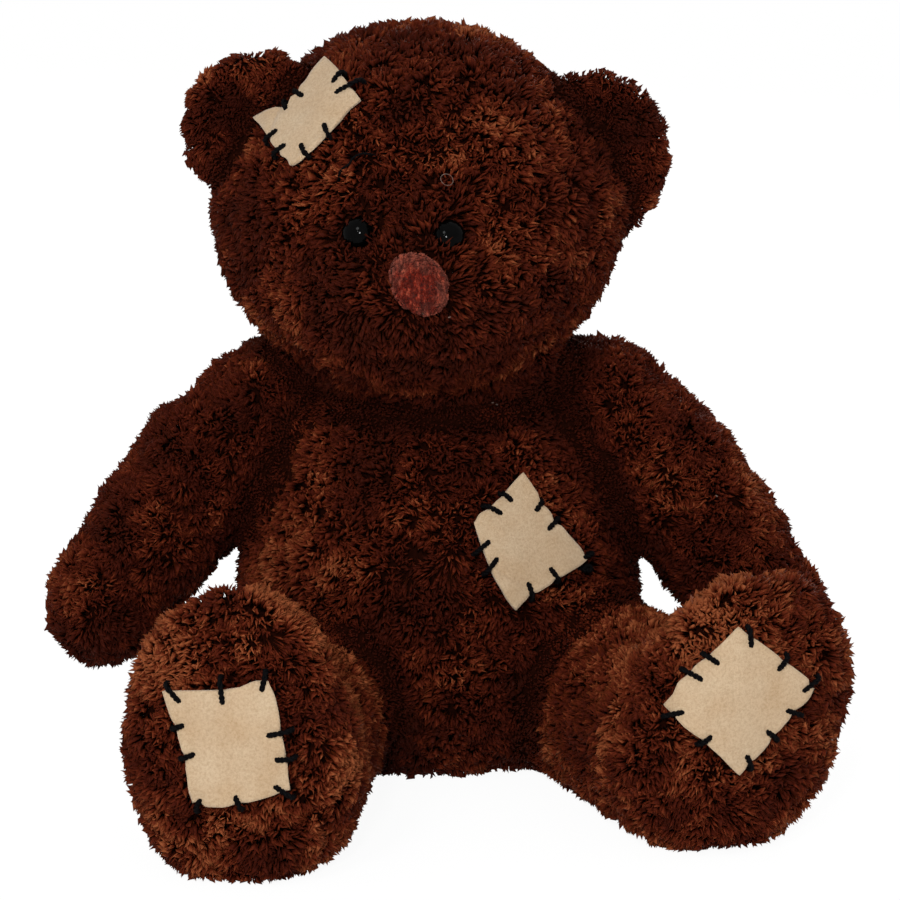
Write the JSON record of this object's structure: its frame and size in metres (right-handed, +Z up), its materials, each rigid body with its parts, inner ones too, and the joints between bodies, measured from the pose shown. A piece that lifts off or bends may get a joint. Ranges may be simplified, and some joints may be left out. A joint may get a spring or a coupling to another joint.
{
  "type": "teddy bear",
  "caption": "Seated plush teddy bear with domed eyes, a flocked nose, big flat-soled feet and felt patches sewn on with coarse stitches.",
  "frame": {"origin": "middle of the flat that the body sits on", "axes": "+Z up, the bear faces -Y, its own right side is -X"},
  "size_m": [0.2256, 0.1904, 0.2101],
  "materials": {
    "plush": "matte",
    "filling": "matte",
    "felt": "matte",
    "thread": "matte",
    "eye_gloss": "gloss",
    "washer_plastic": "matte",
    "nose_flock": "matte"
  },
  "bodies": {
    "root": {"body_cover": "plush", "body_fill": "filling", "leg_right_cover": "plush", "leg_right_fill": "filling", "leg_left_cover": "plush", "leg_left_fill": "filling", "arm_right_cover": "plush", "arm_right_fill": "filling", "arm_left_cover": "plush", "arm_left_fill": "filling", "eye_right": "eye_gloss", "eye_washer_right": "washer_plastic", "eye_left": "eye_gloss", "eye_washer_left": "washer_plastic", "nose": "nose_flock", "head_cover": "plush", "head_fill": "filling", "ear_right": "plush", "ear_left": "plush", "head_patch": "felt", "head_stitch_1": "thread", "head_stitch_2": "thread", "head_stitch_3": "thread", "head_stitch_4": "thread", "head_stitch_5": "thread", "head_stitch_6": "thread", "head_stitch_7": "thread", "head_stitch_8": "thread", "belly_patch": "felt", "belly_stitch_1": "thread", "belly_stitch_2": "thread", "belly_stitch_3": "thread", "belly_stitch_4": "thread", "belly_stitch_5": "thread", "belly_stitch_6": "thread", "belly_stitch_7": "thread", "belly_stitch_8": "thread", "belly_stitch_9": "thread", "foot_patch_right": "felt", "foot_right_stitch_1": "thread", "foot_right_stitch_2": "thread", "foot_right_stitch_3": "thread", "foot_right_stitch_4": "thread", "foot_right_stitch_5": "thread", "foot_right_stitch_6": "thread", "foot_right_stitch_7": "thread", "foot_right_stitch_8": "thread", "foot_right_stitch_9": "thread", "foot_right_stitch_10": "thread", "foot_patch_left": "felt", "foot_left_stitch_1": "thread", "foot_left_stitch_2": "thread", "foot_left_stitch_3": "thread", "foot_left_stitch_4": "thread", "foot_left_stitch_5": "thread", "foot_left_stitch_6": "thread", "foot_left_stitch_7": "thread", "foot_left_stitch_8": "thread", "foot_left_stitch_9": "thread", "foot_left_stitch_10": "thread"}
  },
  "joints": []
}
